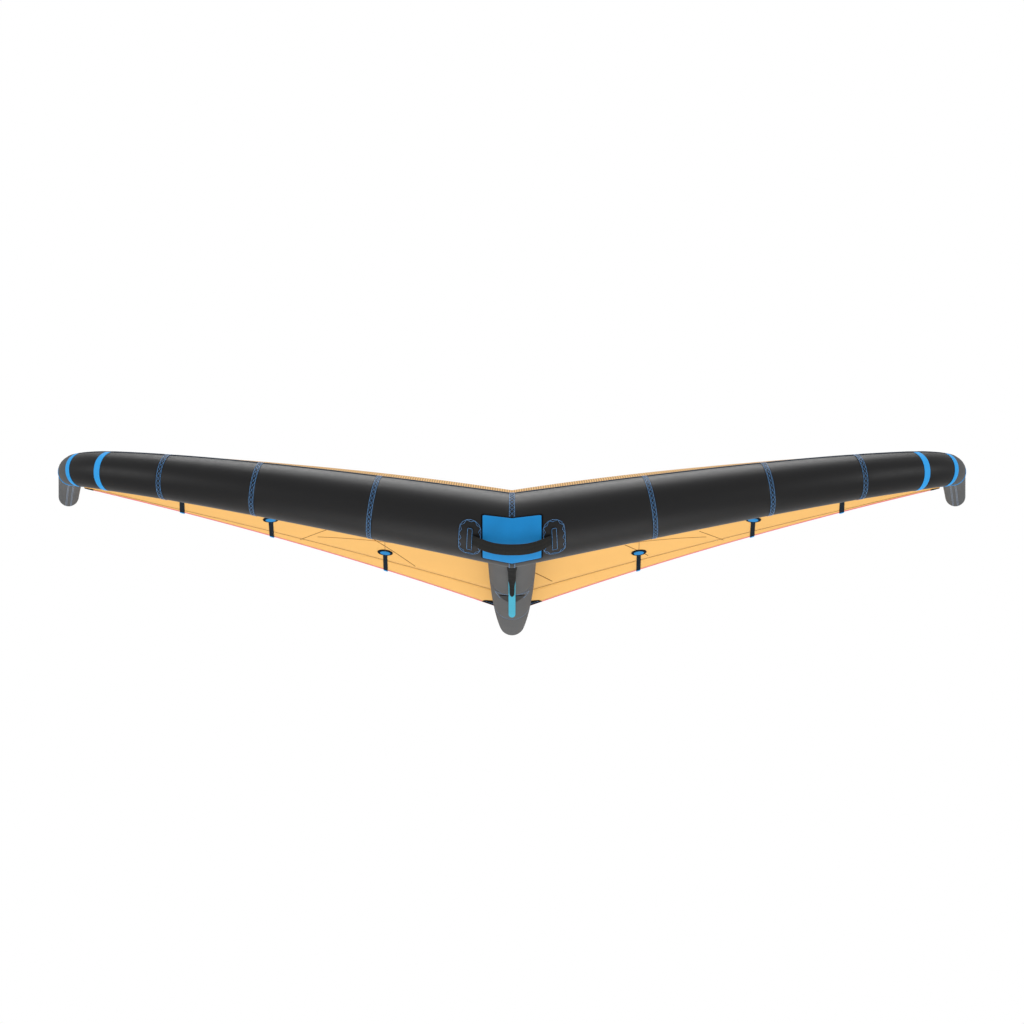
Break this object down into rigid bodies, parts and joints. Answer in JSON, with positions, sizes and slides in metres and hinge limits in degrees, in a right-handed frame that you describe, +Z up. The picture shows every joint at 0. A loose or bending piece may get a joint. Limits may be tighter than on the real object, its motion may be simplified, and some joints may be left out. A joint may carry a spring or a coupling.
{
  "type": "inflatable foil wing",
  "caption": "Inflatable hand-held wing for foil boarding: an air-filled leading edge tube and centre strut carry an arched cloth canopy, with a webbing handle at the nose.",
  "frame": {"origin": "on the ground below the middle of the wing, at the bottom centre of its box", "axes": "+X along the span to the right as seen from the front, which is the picture's right; +Y back to the trailing edge; +Z up"},
  "size_m": [3.009, 2.0756, 0.4206],
  "materials": {
    "casing_cloth": "woven ripstop, satin",
    "grey_cloth": "woven ripstop, satin",
    "canopy_cloth": "light ripstop with fine lengthwise stripes, matt",
    "seam_tape": "zigzag-stitched tape, matt",
    "bright_band": "matt tape",
    "pad": "matt moulded pad",
    "hem_tape": "matt tape",
    "base_strip": "coated reinforcement strip",
    "hard_plastic": "fine-grained moulding",
    "webbing": "woven webbing",
    "bladder": "thin clear film",
    "hose": "smooth hose",
    "batten": "glass-fibre strip",
    "lever_plastic": "smooth moulding"
  },
  "bodies": {
    "wing": {"air_hose": "hose", "batten_1_left": "batten", "batten_1_right": "batten", "batten_2_left": "batten", "batten_2_right": "batten", "batten_3_left": "batten", "batten_3_right": "batten", "batten_pocket_1_left": "casing_cloth", "batten_pocket_1_right": "casing_cloth", "batten_pocket_2_left": "casing_cloth", "batten_pocket_2_right": "casing_cloth", "batten_pocket_3_left": "casing_cloth", "batten_pocket_3_right": "casing_cloth", "boom_base_strip": "base_strip", "boom_rail": "hard_plastic", "canopy_front": "canopy_cloth", "canopy_middle": "canopy_cloth", "canopy_rear": "canopy_cloth", "centre_tape": "seam_tape", "handle_anchor_left": "casing_cloth", "handle_anchor_right": "casing_cloth", "le_bladder": "bladder", "le_panel_1_left": "casing_cloth", "le_panel_1_right": "casing_cloth", "le_panel_2_left": "casing_cloth", "le_panel_2_right": "casing_cloth", "le_panel_3_left": "casing_cloth", "le_panel_3_right": "casing_cloth", "le_panel_4_left": "casing_cloth", "le_panel_4_right": "casing_cloth", "pinch_clip": "hard_plastic", "seam_tape_1_left": "seam_tape", "seam_tape_1_right": "seam_tape", "seam_tape_2_left": "seam_tape", "seam_tape_2_right": "seam_tape", "seam_tape_3_left": "seam_tape", "seam_tape_3_right": "seam_tape", "service_zip": "hard_plastic", "strut_bladder": "bladder", "strut_end": "grey_cloth", "strut_panel_front": "grey_cloth", "strut_panel_rear": "grey_cloth", "te_patch_left": "casing_cloth", "te_patch_right": "casing_cloth", "tip_band_left": "bright_band", "tip_band_right": "bright_band", "tip_bend_left": "casing_cloth", "tip_bend_right": "casing_cloth", "tip_end_left": "grey_cloth", "tip_end_right": "grey_cloth", "tip_ring_left": "bright_band", "tip_ring_right": "bright_band", "trailing_hem": "hem_tape", "valve_base": "hard_plastic", "wear_pad": "pad"},
    "handle": {"front_handle": "webbing"},
    "flap": {"valve_flap": "hose"},
    "cap": {"valve_cap": "hard_plastic"},
    "slider": {"zip_slider": "hard_plastic"},
    "lever": {"clip_lever": "lever_plastic"}
  },
  "joints": [
    {"name": "front_handle_swing", "type": "hinge", "parent": "wing", "child": "handle", "pos_m": [0, -0.96638, 0.08676], "axis": [1, 0, 0], "range_deg": [-15, 12]},
    {"name": "valve_flap_hinge", "type": "hinge", "parent": "wing", "child": "flap", "pos_m": [0.1493, -0.75648, 0.16853], "axis": [-1, 0, 0], "range_deg": [0, 45], "stiffness_Nm_per_rad": 0.002},
    {"name": "valve_cap_hinge", "type": "hinge", "parent": "wing", "child": "cap", "pos_m": [0.1493, -0.74288, 0.17683], "axis": [1, 0, 0], "range_deg": [0, 150]},
    {"name": "zip_slide", "type": "slide", "parent": "wing", "child": "slider", "axis": [0.9794, 0.058, 0.1936], "range_m": [0, 0.148]},
    {"name": "clip_lever_hinge", "type": "hinge", "parent": "wing", "child": "lever", "pos_m": [-0.17403, -0.70966, 0.17512], "axis": [0, -1, 0], "range_deg": [0, 60]}
  ]
}
